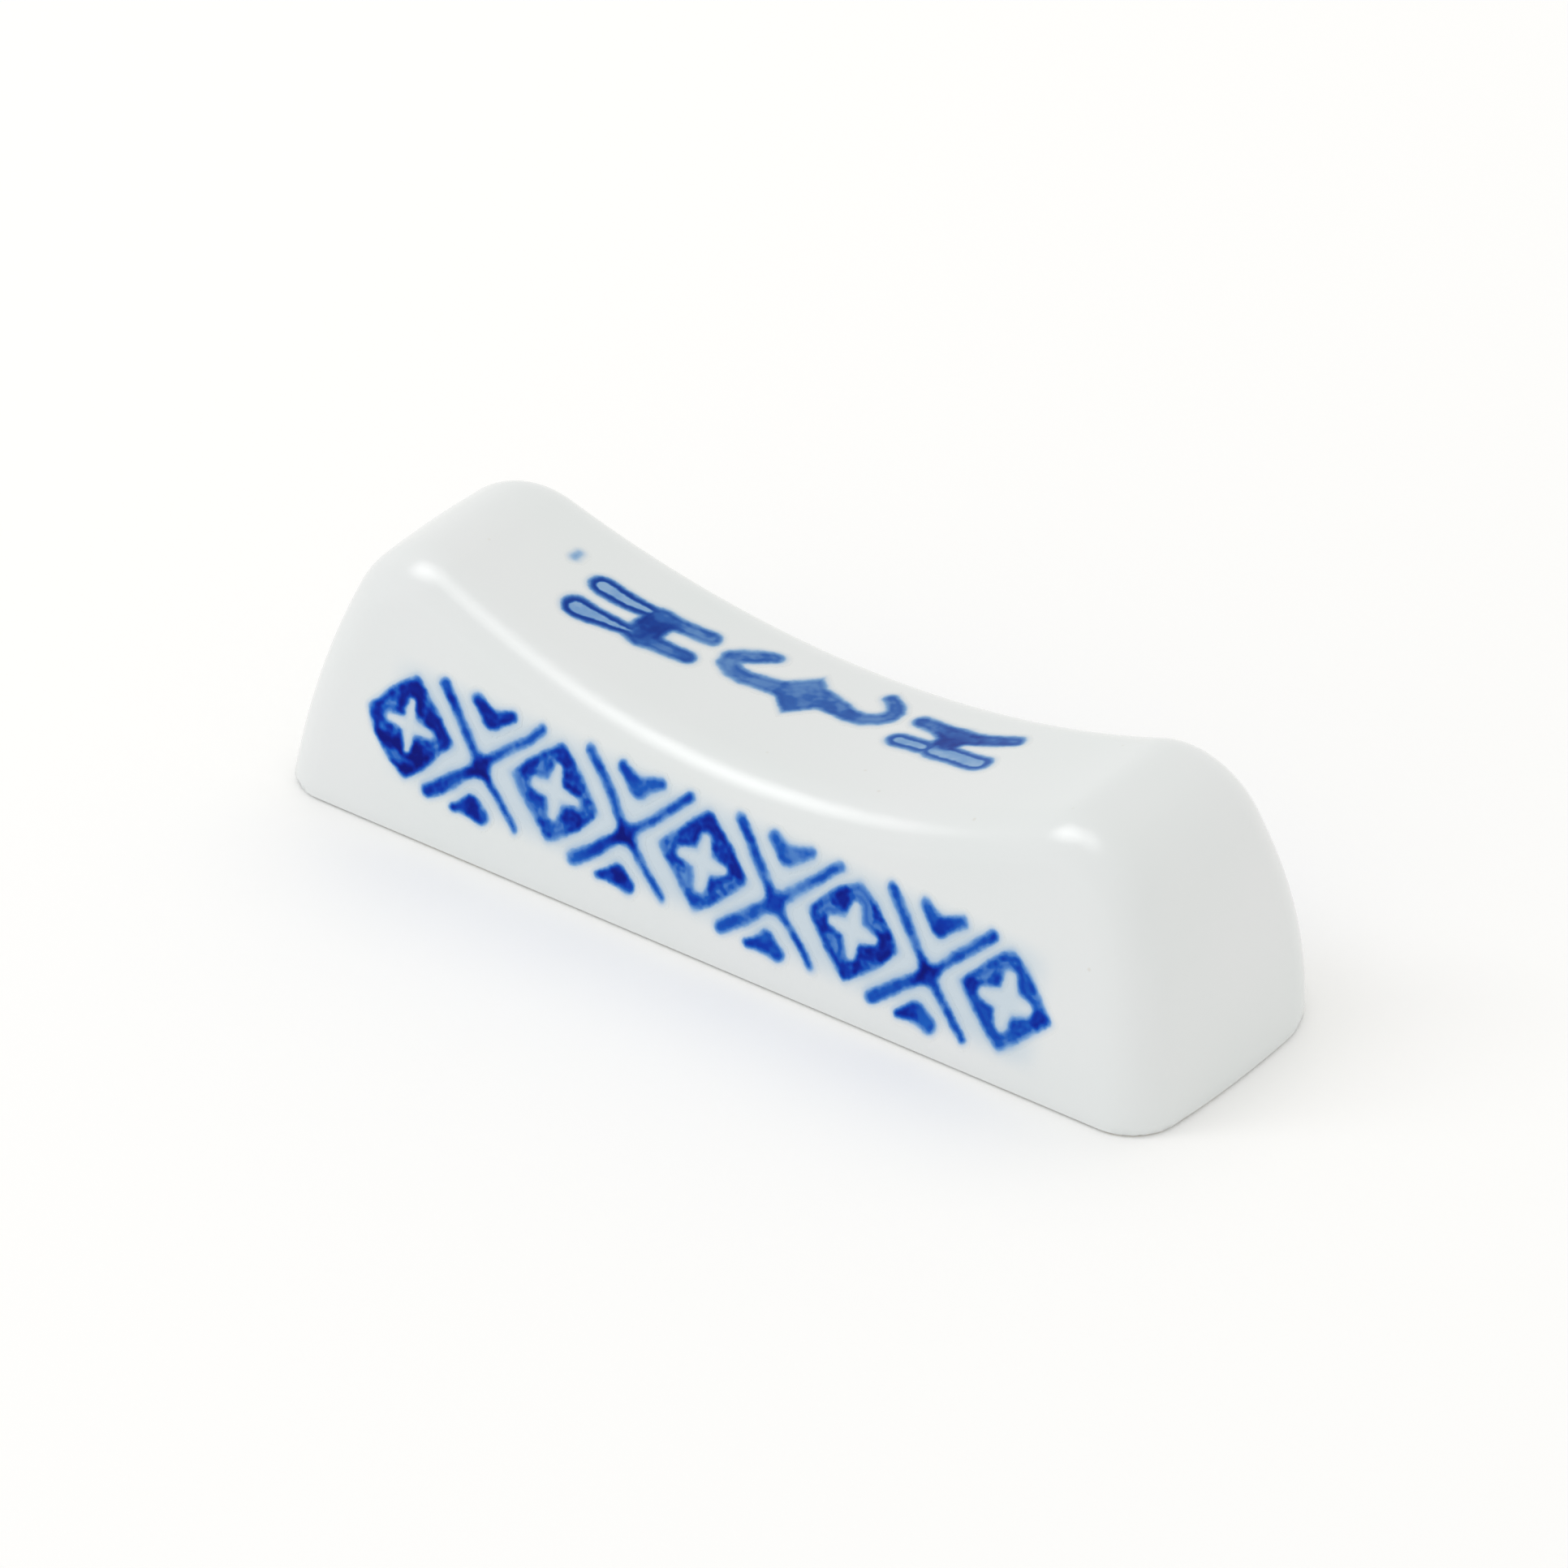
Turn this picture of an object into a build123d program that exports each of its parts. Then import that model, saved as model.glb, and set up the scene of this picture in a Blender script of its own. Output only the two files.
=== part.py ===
from build123d import *
import math
import os

# Porcelain body: a slip-cast saddle, open underneath. Millimetres and degrees.
length = 65.0           # end to end at the foot
width = 20.4            # front to back at the foot
saddle_height = 12.2    # table to the lowest point of the saddle
saddle_radius = 57.4    # sweep of the saddle along the length
end_draft = 5.2         # lean of the end faces where they leave the foot
end_radius = 42.0       # outward bow of the end faces, from the foot up
end_bow = 83.0          # outward bow of the end faces, from front to back
side_draft = 12.0       # lean of the flat front and back faces
crest_radius = 5.7      # roll from an end face over into the saddle
rim_radius = 3.1        # roll along the saddle's sides and down the four corners
foot_round = 0.5        # softened outer edge of the foot
mouth_round = 0.4       # softened inner edge of the foot
wall = 3.0              # thickness of the cast shell
cavity_round = 1.2      # least roll inside the hollow

# Cobalt print: it sinks into the glaze, so each patch lies flush in the body.
print_depth = 0.2       # how far a patch reaches below the surface
print_reach = 1.5       # how far an outline is carried either side of a face to meet its curves

# Lattice band on the front and the back, measured along the face and up its slope.
band_height = 6.4       # foot to the line through the lozenges
band_pitch = 11.0       # lozenge to lozenge
band_margin = 6.8       # least bare porcelain beyond each end of the band
band_shift = -0.55      # the band was laid this far off centre
band_tilt = -2.1        # and this far off level
lozenge_width = 6.7     # corner to corner, before the corners are rounded
lozenge_height = 6.9
lozenge_round = 0.8
star_reach = 2.05       # centre to tip of the bare star inside a lozenge
star_heart = 1.75       # thickness of the star's rays where they meet
star_tip = 0.85         # thickness of the rays at their tips
star_round = 0.2        # round of the notches between the rays
cross_drop = -0.48      # crosses sit this far below the line of lozenges
cross_arms = [(-3.55, 4.2), (3.9, 4.2), (-3.75, -3.3), (3.25, -3.15)]
cross_heart = 1.0       # thickness of the strokes where they meet
cross_tip = 0.55        # thickness of the strokes at their tips
cross_web = 0.9         # round of the corners between the strokes
tip_share = 0.45        # round of a stroke's tip, as a share of its thickness
upper_heart = [(-0.85, 4.0), (0.25, 3.1), (1.75, 3.95)]
lower_heart = [(-1.5, -3.2), (-0.3, -2.5), (0.75, -3.15)]
heart_width = 1.05      # thickness at the point of a heart
heart_tip = 0.7         # thickness at the ends of a heart

# Ornament along the saddle, measured from the middle of its diamond.
ornament_place = (-1.1, 1.6)
ornament_tilt = 3.1
diamond_length = 4.5
diamond_width = 4.1
diamond_round = 0.4
bow_place = 11.0        # diamond to the waist of a bow
bow_drop = -0.45
bow_lean = 5.3
bow_inner = -3.2        # waist to the round of the inner ends
bow_outer = 3.1         # waist to the round of the outer ends
bow_inner_width = 1.3
bow_outer_width = 1.7
bow_spread = 1.4        # axis of the bow to each of its bars
bow_waist = 2.3         # thickness of the waist, along the rest
bow_web = 0.5           # round of the corners at the waist
scroll_width = 1.15
scroll_reach = 5.8      # diamond to the bend of each hook
scroll_drop = -0.7      # the hooks leave this far below the diamond's middle
scroll_rise = 2.2       # and end this far above it
scroll_tip = 3.85       # diamond to the tips of the hooks


def bearing(start, end):
    """Direction from one point to another, in degrees."""
    run = end - start
    return math.degrees(math.atan2(run.Y, run.X))


def end_limit(inset, foot_level, top_level):
    """Everything inside the right end face: an arc that rises from the foot, turned about an upright axis."""
    lean = math.radians(end_draft)
    centre = Vector(length / 2 - end_radius * math.cos(lean), -end_radius * math.sin(lean))
    sweep = end_radius - inset
    low, high = (math.degrees(math.asin((level - centre.Y) / sweep)) for level in (foot_level, top_level))
    face = CenterArc(centre, sweep, low, high - low)
    axis_place = length / 2 - end_bow
    outline = Polyline(face @ 1, (axis_place, top_level), (axis_place, foot_level), face @ 0)
    upright = Axis((axis_place, 0, 0), (0, 0, 1))
    return revolve(Plane.XZ * make_face([face, outline]), axis=upright)


def saddle_form(inset, foot_level):
    """The body's outer form drawn in by an even inset and carried down to a foot level."""
    top_level = saddle_height + 2 * crest_radius
    slope = math.radians(side_draft)
    half_foot = width / 2 - inset / math.cos(slope)
    half_low = half_foot - foot_level * math.tan(slope)
    half_top = half_foot - top_level * math.tan(slope)
    low_corners = [(-half_low, foot_level), (half_low, foot_level)]
    top_corners = [(half_top, top_level), (-half_top, top_level)]
    section = Polygon(*low_corners, *top_corners, align=None)
    block = extrude(Plane.YZ * section, amount=length, both=True)
    end = end_limit(inset, foot_level, top_level)
    block = block & end & mirror(end, Plane.YZ)
    roller = Plane.XZ * Pos(0, saddle_height + saddle_radius) * Circle(saddle_radius + inset)
    block -= extrude(roller, amount=width, both=True)

    crosswise = [edge for edge in block.edges() if abs(edge.tangent_at(0.5).Y) > 0.5]
    brinks = [edge for edge in crosswise if edge.center().Z > saddle_height]
    block = fillet(brinks, radius=crest_radius - inset)
    lengthwise = [edge for edge in block.edges() if abs(edge.tangent_at(0.5).Y) < 0.5]
    rims = [edge for edge in lengthwise if edge.center().Z > foot_level + foot_round]
    return fillet(rims, radius=max(rim_radius - inset, cavity_round))


def foot_edges(solid):
    """Edges that lie on the table."""
    return [edge for edge in solid.edges() if abs(edge.center().Z) < 1e-4]


def stroke(start, end, start_width, end_width):
    """Brush stroke with round ends that may swell or taper."""
    start = Vector(*start)
    end = Vector(*end)
    along = end - start
    flare = math.degrees(math.acos((start_width - end_width) / 2 / along.length))
    ahead = along.normalized()
    left = ahead.rotate(Axis.Z, flare)
    right = ahead.rotate(Axis.Z, -flare)
    head = [end + right * end_width / 2, end + ahead * end_width / 2, end + left * end_width / 2]
    tail = [start + left * start_width / 2, start - ahead * start_width / 2, start + right * start_width / 2]
    sides = [Line(head[2], tail[0]), Line(tail[2], head[0])]
    return Sketch() + make_face([ThreePointArc(*head), ThreePointArc(*tail)] + sides)


def nearest_corners(sketch, count):
    """Corners of a sketch that lie closest to its origin."""
    return sorted(sketch.vertices(), key=lambda corner: corner.center().length)[:count]


def lozenge():
    """Rounded square on its corner, with a bare four-pointed star left in the middle."""
    half_width = lozenge_width / 2
    half_height = lozenge_height / 2
    square = Polygon((half_width, 0), (0, half_height), (-half_width, 0), (0, -half_height), align=None)
    square = fillet(square.vertices(), lozenge_round)
    ray = stroke((0, 0), (star_reach - star_tip / 2, 0), star_heart, star_tip)
    star = Sketch() + [Rot(0, 0, quarter * 90) * ray for quarter in range(4)]
    return square - fillet(nearest_corners(star, 4), star_round)


def cross():
    """Four tapering strokes that meet between two lozenges, with rounded corners between them."""
    arms = sorted((Vector(*tip) for tip in cross_arms), key=lambda tip: math.atan2(tip.Y, tip.X))
    outline = []
    for index, arm in enumerate(arms):
        following = arms[(index + 1) % len(arms)]
        across = arm.normalized().rotate(Axis.Z, 90) * cross_tip / 2
        half_gap = math.radians((bearing(Vector(), following) - bearing(Vector(), arm)) % 360 / 2)
        between = arm.normalized().rotate(Axis.Z, math.degrees(half_gap))
        outline += [arm - across, arm + across, between * cross_heart / 2 / math.sin(half_gap)]
    shape = Polygon(*outline, align=None)
    corners = nearest_corners(shape, len(arms))
    tips = [corner for corner in shape.vertices() if corner not in corners]
    shape = fillet(tips, cross_tip * tip_share)
    return fillet(nearest_corners(shape, len(arms)), cross_web)


def heart(points):
    """Small filler of two short strokes between the arms of a cross."""
    first, point, last = points
    return stroke(first, point, heart_tip, heart_width) + stroke(point, last, heart_width, heart_tip)


def lozenge_places():
    """As many lozenges as the face has room for, evenly about the middle of the band."""
    run = length - 2 * band_margin - lozenge_width
    count = int(run / band_pitch) + 1
    return [(index - (count - 1) / 2) * band_pitch for index in range(count)]


def cross_places():
    """One cross between each lozenge and the next."""
    return [place + band_pitch / 2 for place in lozenge_places()[:-1]]


def bow():
    """Two bars joined at a waist, wider towards the end of the rest."""
    shape = Rectangle(bow_waist, 2 * bow_spread)
    for side in (-bow_spread, bow_spread):
        shape += stroke((bow_inner, side), (bow_outer, side), bow_inner_width, bow_outer_width)
    half_gap = bow_spread - bow_outer_width / 2
    return fillet(nearest_corners(shape, 4), min(bow_web, tip_share * 2 * half_gap))


def hook(side):
    """Scroll that runs out from the diamond and curls back over itself."""
    start = (0, scroll_drop)
    turn = (side * (scroll_reach - scroll_rise / 2), scroll_drop)
    bend = (side * scroll_reach, (scroll_drop + scroll_rise) / 2)
    tip = (side * scroll_tip, scroll_rise)
    curl = trace(ThreePointArc(turn, bend, tip), scroll_width)
    return stroke(start, turn, scroll_width, scroll_width) + curl + Pos(*tip) * Circle(scroll_width / 2)


def scroll():
    """Diamond with a hook on either side."""
    half_length = diamond_length / 2
    half_width = diamond_width / 2
    diamond = Polygon((half_length, 0), (0, half_width), (-half_length, 0), (0, -half_width), align=None)
    return fillet(diamond.vertices(), diamond_round) + hook(-1) + hook(1)


def front_face():
    """Flat drafted front, with its origin at the middle of the band."""
    slope = math.radians(side_draft)
    level = band_height * math.cos(slope)
    origin = (band_shift, level * math.tan(slope) - width / 2, level)
    face = Plane(origin=origin, x_dir=(1, 0, 0), z_dir=(0, -math.cos(slope), math.sin(slope)))
    return face * Rot(0, 0, band_tilt)


def inlay(place, sketch, skin):
    """A sketch laid on a face and sunk into the skin of the body, as separate patches."""
    return (place * extrude(sketch, amount=print_reach, both=True)) & skin


def saddle_inlay(sketch, skin):
    """A sketch dropped onto the saddle from above."""
    ornament = Pos(ornament_place[0], ornament_place[1], saddle_height) * Rot(0, 0, ornament_tilt)
    return (ornament * extrude(sketch, amount=crest_radius, both=True)) & skin


outer = saddle_form(0, 0)
under_foot = -2 * foot_round
skin = outer - saddle_form(print_depth, under_foot)
hollow = saddle_form(wall, under_foot)

lozenges = Sketch() + [Pos(place, 0) * lozenge() for place in lozenge_places()]
crosses = Sketch() + [Pos(place, cross_drop) * cross() for place in cross_places()]
upper_hearts = Sketch() + [Pos(place, cross_drop) * heart(upper_heart) for place in cross_places()]
lower_hearts = Sketch() + [Pos(place, cross_drop) * heart(lower_heart) for place in cross_places()]
right_bow = Pos(bow_place, bow_drop) * Rot(0, 0, -bow_lean) * bow()
left_bow = mirror(right_bow, Plane.YZ)

front = front_face()
back = Rot(0, 0, 180) * front
nodes = {
    "front_lozenges": inlay(front, lozenges, skin),
    "front_crosses": inlay(front, crosses, skin),
    "front_upper_hearts": inlay(front, upper_hearts, skin),
    "front_lower_hearts": inlay(front, lower_hearts, skin),
    "back_lozenges": inlay(back, lozenges, skin),
    "back_crosses": inlay(back, crosses, skin),
    "back_upper_hearts": inlay(back, upper_hearts, skin),
    "back_lower_hearts": inlay(back, lower_hearts, skin),
    "saddle_left_bow": saddle_inlay(left_bow, skin),
    "saddle_right_bow": saddle_inlay(right_bow, skin),
    "saddle_scroll": saddle_inlay(scroll(), skin),
}

body = fillet(foot_edges(outer), foot_round) - hollow
mouth = [edge for edge in foot_edges(body) if abs(edge.center().Y) < width / 2 - wall / 2]
body = fillet(mouth, mouth_round)
for patch in nodes.values():
    body -= patch
nodes["porcelain_body"] = body

os.makedirs("parts", exist_ok=True)
for name, solid in nodes.items():
    export_step(solid, f"parts/{name}.step")
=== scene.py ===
import math
import bpy
from mathutils import Matrix, Vector


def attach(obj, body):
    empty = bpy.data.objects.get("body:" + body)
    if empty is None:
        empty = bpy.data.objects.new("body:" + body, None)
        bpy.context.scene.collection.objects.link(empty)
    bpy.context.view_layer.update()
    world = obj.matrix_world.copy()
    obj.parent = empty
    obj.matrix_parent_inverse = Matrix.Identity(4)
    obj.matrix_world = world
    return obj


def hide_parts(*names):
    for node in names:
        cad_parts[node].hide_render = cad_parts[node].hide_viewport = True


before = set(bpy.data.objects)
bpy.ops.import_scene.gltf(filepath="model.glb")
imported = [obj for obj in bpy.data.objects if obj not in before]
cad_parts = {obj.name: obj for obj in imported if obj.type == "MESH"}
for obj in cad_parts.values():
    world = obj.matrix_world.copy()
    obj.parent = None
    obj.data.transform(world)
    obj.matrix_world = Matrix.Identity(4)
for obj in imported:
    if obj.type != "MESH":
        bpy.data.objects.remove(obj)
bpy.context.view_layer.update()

# Porcelain body. One slip-cast shell, hollow and open underneath, that stands on its rim.
# It was drawn from a plaster mould, so its faces lean in; the ends bow outwards, and every
# edge was sponged round before the whole casting was dipped in clear glaze.
form_sizes = {
    "Length": 65.0,
    "Width": 20.4,
    "Saddle height": 12.2,
    "Saddle radius": 57.4,
    "End lean": math.radians(5.2),
    "End radius": 42.0,
    "End bow": 83.0,
    "Side lean": math.radians(12.0),
    "Crest roll": 5.7,
    "Rim roll": 3.1,
    "Back corner roll": 6.3,
    "Foot roll": 0.5,
    "Mouth roll": 0.4,
    "Cavity roll": 1.2,
    "Wall": 3.0,
}
corner_fade = 12.0   # the rounder roll of the back corners fades out over this height
corner_swap = 3.0    # and comes in over this far either side of the middle
millimetre = 0.001
sharp_edge = math.radians(40)


def linear(hex_colour, alpha=1.0):
    """An sRGB hex colour as the linear values that shaders take."""
    channels = [int(hex_colour[place:place + 2], 16) / 255 for place in (1, 3, 5)]
    return [c / 12.92 if c <= 0.04045 else ((c + 0.055) / 1.055) ** 2.4 for c in channels] + [alpha]


def add_node(tree, kind, links=None, **settings):
    """Adds a node with its settings and links, and gives its first output."""
    node = tree.nodes.new(kind)
    for name, value in settings.items():
        setattr(node, name, value)
    for socket, value in (links or {}).items():
        named = [target for target in node.inputs if target.enabled and target.name == socket]
        target = named[0] if named else node.inputs[socket]
        if isinstance(value, bpy.types.NodeSocket):
            tree.links.new(value, target)
        else:
            target.default_value = value
    return next((output for output in node.outputs if output.enabled), None)


def new_tree(name, inputs, outputs, kind="GeometryNodeTree"):
    """A node tree with named sockets, and the outputs of the node that brings its inputs in."""
    sockets = {float: "Float", int: "Int", tuple: "Vector", list: "Color", str: "Geometry"}
    tree = bpy.data.node_groups.new(name, kind)
    for side, values in (("INPUT", inputs), ("OUTPUT", outputs)):
        for label, value in values.items():
            sort = "Material" if isinstance(value, bpy.types.Material) else sockets[type(value)]
            socket = tree.interface.new_socket(label, in_out=side, socket_type="NodeSocket" + sort)
            if sort != "Geometry":
                socket.default_value = value
    return tree, tree.nodes.new("NodeGroupInput").outputs


def made_piece(name, tree, thickness=0.0, **sizes):
    """Runs a tree once with its sizes and keeps what it makes as a plain mesh; a thickness goes inwards."""
    piece = bpy.data.objects.new(name, bpy.data.meshes.new(name))
    bpy.context.scene.collection.objects.link(piece)
    maker = piece.modifiers.new("maker", "NODES")
    maker.node_group = tree
    for socket in tree.interface.items_tree:
        if socket.in_out == "INPUT" and socket.name.replace(" ", "_").lower() in sizes:
            maker[socket.identifier] = sizes[socket.name.replace(" ", "_").lower()]
    if thickness:
        sink = piece.modifiers.new("sink", "SOLIDIFY")
        sink.thickness = thickness
        sink.offset = -1.0
    depsgraph = bpy.context.evaluated_depsgraph_get()
    mesh = bpy.data.meshes.new_from_object(piece.evaluated_get(depsgraph), depsgraph=depsgraph)
    mesh.set_sharp_from_angle(angle=sharp_edge)
    piece.modifiers.clear()
    piece.data = mesh
    mesh.name = name
    return piece


# Where two faces meet they roll into each other with an even radius, whatever the angle between them.
roll_sizes = {"One": 0.0, "Other": 0.0, "Cosine": 0.0, "Roll": 1.0}
rolled, given = new_tree("rolled_edge", roll_sizes, {"Distance": 0.0, "Turn": 0.0})
one = add_node(rolled, "ShaderNodeMath", {0: given["One"], 1: given["Roll"]}, operation="ADD")
other = add_node(rolled, "ShaderNodeMath", {0: given["Other"], 1: given["Roll"]}, operation="ADD")
square = add_node(rolled, "ShaderNodeMath", {0: given["Cosine"], 1: given["Cosine"]}, operation="MULTIPLY")
remainder = add_node(rolled, "ShaderNodeMath", {0: 1.0, 1: square}, operation="SUBTRACT")
sine = add_node(rolled, "ShaderNodeMath", {0: remainder}, operation="SQRT")
past_one = add_node(rolled, "ShaderNodeMath", {0: given["Cosine"], 1: one}, operation="MULTIPLY")
past_one = add_node(rolled, "ShaderNodeMath", {0: other, 1: past_one}, operation="SUBTRACT")
past_one = add_node(rolled, "ShaderNodeMath", {0: past_one, 1: sine}, operation="DIVIDE")
past_other = add_node(rolled, "ShaderNodeMath", {0: given["Cosine"], 1: other}, operation="MULTIPLY")
past_other = add_node(rolled, "ShaderNodeMath", {0: one, 1: past_other}, operation="SUBTRACT")
arm = add_node(rolled, "ShaderNodeCombineXYZ", {"X": one, "Y": past_one})
arm_length = add_node(rolled, "ShaderNodeVectorMath", {0: arm}, operation="LENGTH")
flat = add_node(rolled, "ShaderNodeMath", {0: one, 1: other}, operation="MAXIMUM")
between = add_node(rolled, "ShaderNodeMath", {0: past_one, 1: past_other}, operation="MINIMUM")
between = add_node(rolled, "ShaderNodeMath", {0: between, 1: 0.0}, operation="GREATER_THAN")
surface = add_node(rolled, "ShaderNodeMix", {"Factor": between, "A": flat, "B": arm_length})
distance = add_node(rolled, "ShaderNodeMath", {0: surface, 1: given["Roll"]}, operation="SUBTRACT")
turn = add_node(rolled, "ShaderNodeMath", {0: past_one, 1: arm_length}, operation="DIVIDE", use_clamp=True)
turned = add_node(rolled, "ShaderNodeMath", {0: 0.0, 1: past_other}, operation="GREATER_THAN")
nearer = add_node(rolled, "ShaderNodeMath", {0: other, 1: one}, operation="GREATER_THAN")
turned = add_node(rolled, "ShaderNodeMath", {0: turned, 1: nearer}, operation="MULTIPLY")
turn = add_node(rolled, "ShaderNodeMath", {0: turn, 1: turned}, operation="MAXIMUM")
add_node(rolled, "NodeGroupOutput", {"Distance": distance, "Turn": turn})

# The mould's rule: how far a point lies outside the casting, in millimetres.
fading = {"To Min": 1.0, "To Max": 0.0}
form, size = new_tree("rest_form", {"Position": (0.0, 0.0, 0.0), **form_sizes}, {"Distance": 0.0})
x, y, z = add_node(form, "ShaderNodeSeparateXYZ", {0: size["Position"]}).node.outputs
along = add_node(form, "ShaderNodeMath", {0: x}, operation="ABSOLUTE")
across = add_node(form, "ShaderNodeMath", {0: y}, operation="ABSOLUTE")
half_length = add_node(form, "ShaderNodeMath", {0: size["Length"], 1: 0.5}, operation="MULTIPLY")
bow_axis = add_node(form, "ShaderNodeMath", {0: half_length, 1: size["End bow"]}, operation="SUBTRACT")
bow_run = add_node(form, "ShaderNodeMath", {0: along, 1: bow_axis}, operation="SUBTRACT")
bow_arm = add_node(form, "ShaderNodeCombineXYZ", {"X": bow_run, "Y": y})
bow_reach = add_node(form, "ShaderNodeVectorMath", {0: bow_arm}, operation="LENGTH")
reach = add_node(form, "ShaderNodeMath", {0: bow_reach, 1: bow_axis}, operation="ADD")
lean_cos = add_node(form, "ShaderNodeMath", {0: size["End lean"]}, operation="COSINE")
lean_sin = add_node(form, "ShaderNodeMath", {0: size["End lean"]}, operation="SINE")
end_back = add_node(form, "ShaderNodeMath", {0: size["End radius"], 1: lean_cos}, operation="MULTIPLY")
end_place = add_node(form, "ShaderNodeMath", {0: half_length, 1: end_back}, operation="SUBTRACT")
end_run = add_node(form, "ShaderNodeMath", {0: reach, 1: end_place}, operation="SUBTRACT")
rise_links = {0: size["End radius"], 1: lean_sin, 2: z}
end_rise = add_node(form, "ShaderNodeMath", rise_links, operation="MULTIPLY_ADD")
end_arm = add_node(form, "ShaderNodeCombineXYZ", {"X": end_run, "Z": end_rise})
end_reach = add_node(form, "ShaderNodeVectorMath", {0: end_arm}, operation="LENGTH")
end = add_node(form, "ShaderNodeMath", {0: end_reach, 1: size["End radius"]}, operation="SUBTRACT")
axis_links = {0: size["Saddle height"], 1: size["Saddle radius"]}
saddle_axis = add_node(form, "ShaderNodeMath", axis_links, operation="ADD")
saddle_drop = add_node(form, "ShaderNodeMath", {0: z, 1: saddle_axis}, operation="SUBTRACT")
saddle_arm = add_node(form, "ShaderNodeCombineXYZ", {"X": x, "Z": saddle_drop})
saddle_reach = add_node(form, "ShaderNodeVectorMath", {0: saddle_arm}, operation="LENGTH")
saddle = add_node(form, "ShaderNodeMath", {0: size["Saddle radius"], 1: saddle_reach}, operation="SUBTRACT")
end_out = add_node(form, "ShaderNodeVectorMath", {0: end_arm}, operation="NORMALIZE")
saddle_out = add_node(form, "ShaderNodeVectorMath", {0: saddle_arm}, operation="NORMALIZE")
flipped = (-1.0, 0.0, -1.0)
saddle_out = add_node(form, "ShaderNodeVectorMath", {0: saddle_out, 1: flipped}, operation="MULTIPLY")
end_in = add_node(form, "ShaderNodeCombineXYZ", {"X": along, "Z": saddle_drop})
end_in = add_node(form, "ShaderNodeVectorMath", {0: end_in}, operation="NORMALIZE")
brink = add_node(form, "ShaderNodeVectorMath", {0: end_out, 1: end_in}, operation="DOT_PRODUCT")
brink = add_node(form, "ShaderNodeMath", {0: brink, 1: -1.0}, operation="MULTIPLY")
crest_links = {"One": end, "Other": saddle, "Cosine": brink, "Roll": size["Crest roll"]}
profile, crest_turn = add_node(form, "GeometryNodeGroup", crest_links, node_tree=rolled).node.outputs
facing_links = {"Factor": crest_turn, "A": end_out, "B": saddle_out}
facing = add_node(form, "ShaderNodeMix", facing_links, data_type="VECTOR")
facing_up = add_node(form, "ShaderNodeSeparateXYZ", {0: facing}).node.outputs["Z"]
half_width = add_node(form, "ShaderNodeMath", {0: size["Width"], 1: 0.5}, operation="MULTIPLY")
side_gap = add_node(form, "ShaderNodeMath", {0: across, 1: half_width}, operation="SUBTRACT")
side_cos = add_node(form, "ShaderNodeMath", {0: size["Side lean"]}, operation="COSINE")
side_sin = add_node(form, "ShaderNodeMath", {0: size["Side lean"]}, operation="SINE")
side_run = add_node(form, "ShaderNodeMath", {0: side_gap, 1: side_cos}, operation="MULTIPLY")
side = add_node(form, "ShaderNodeMath", {0: z, 1: side_sin, 2: side_run}, operation="MULTIPLY_ADD")
rim_cosine = add_node(form, "ShaderNodeMath", {0: facing_up, 1: side_sin}, operation="MULTIPLY")
behind_links = {"Value": y, "From Min": -corner_swap, "From Max": corner_swap}
behind = add_node(form, "ShaderNodeMapRange", behind_links, interpolation_type="SMOOTHSTEP")
low = add_node(form, "ShaderNodeMapRange", {"Value": z, "From Max": corner_fade, **fading})
low = add_node(form, "ShaderNodeMath", {0: low, 1: 2.0}, operation="POWER")
back_corner = add_node(form, "ShaderNodeMath", {0: behind, 1: low}, operation="MULTIPLY")
corner_links = {"Factor": back_corner, "A": size["Rim roll"], "B": size["Back corner roll"]}
rim_roll = add_node(form, "ShaderNodeMix", corner_links)
rim_links = {"One": profile, "Other": side, "Cosine": rim_cosine, "Roll": rim_roll}
outside = add_node(form, "GeometryNodeGroup", rim_links, node_tree=rolled)
cavity_profile = add_node(form, "ShaderNodeMath", {0: profile, 1: size["Wall"]}, operation="ADD")
cavity_side = add_node(form, "ShaderNodeMath", {0: side, 1: size["Wall"]}, operation="ADD")
cavity_links = {"One": cavity_profile, "Other": cavity_side}
cavity_links.update({"Cosine": rim_cosine, "Roll": size["Cavity roll"]})
cavity = add_node(form, "GeometryNodeGroup", cavity_links, node_tree=rolled)
cavity_wall = add_node(form, "ShaderNodeMath", {0: cavity, 1: -1.0}, operation="MULTIPLY")
under = add_node(form, "ShaderNodeMath", {0: z, 1: -1.0}, operation="MULTIPLY")
foot_links = {"One": outside, "Other": under, "Roll": size["Foot roll"]}
footed = add_node(form, "GeometryNodeGroup", foot_links, node_tree=rolled)
mouth_links = {"One": footed, "Other": cavity_wall, "Roll": size["Mouth roll"]}
casting = add_node(form, "GeometryNodeGroup", mouth_links, node_tree=rolled)
add_node(form, "NodeGroupOutput", {"Distance": casting})

# Sets every point of a mesh onto the casting's surface, or a little proud of it.
probe = 0.01          # a small step aside in millimetres, to feel which way the surface faces
press_passes = 4
least_steep = 0.2     # keeps a step short where the rule is nearly flat
press_sizes = {"Geometry": "mesh", "Lift": 0.0, **form_sizes}
press, given = new_tree("press_to_form", press_sizes, {"Geometry": "mesh"})
again = press.nodes.new("GeometryNodeRepeatInput")
pressed = press.nodes.new("GeometryNodeRepeatOutput")
again.pair_with_output(pressed)
again.inputs["Iterations"].default_value = press_passes
press.links.new(given["Geometry"], again.inputs["Geometry"])
here = add_node(press, "GeometryNodeInputPosition")
form_links = {label: given[label] for label in form_sizes}
off = add_node(press, "GeometryNodeGroup", {"Position": here, **form_links}, node_tree=form)
slopes = []
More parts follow.
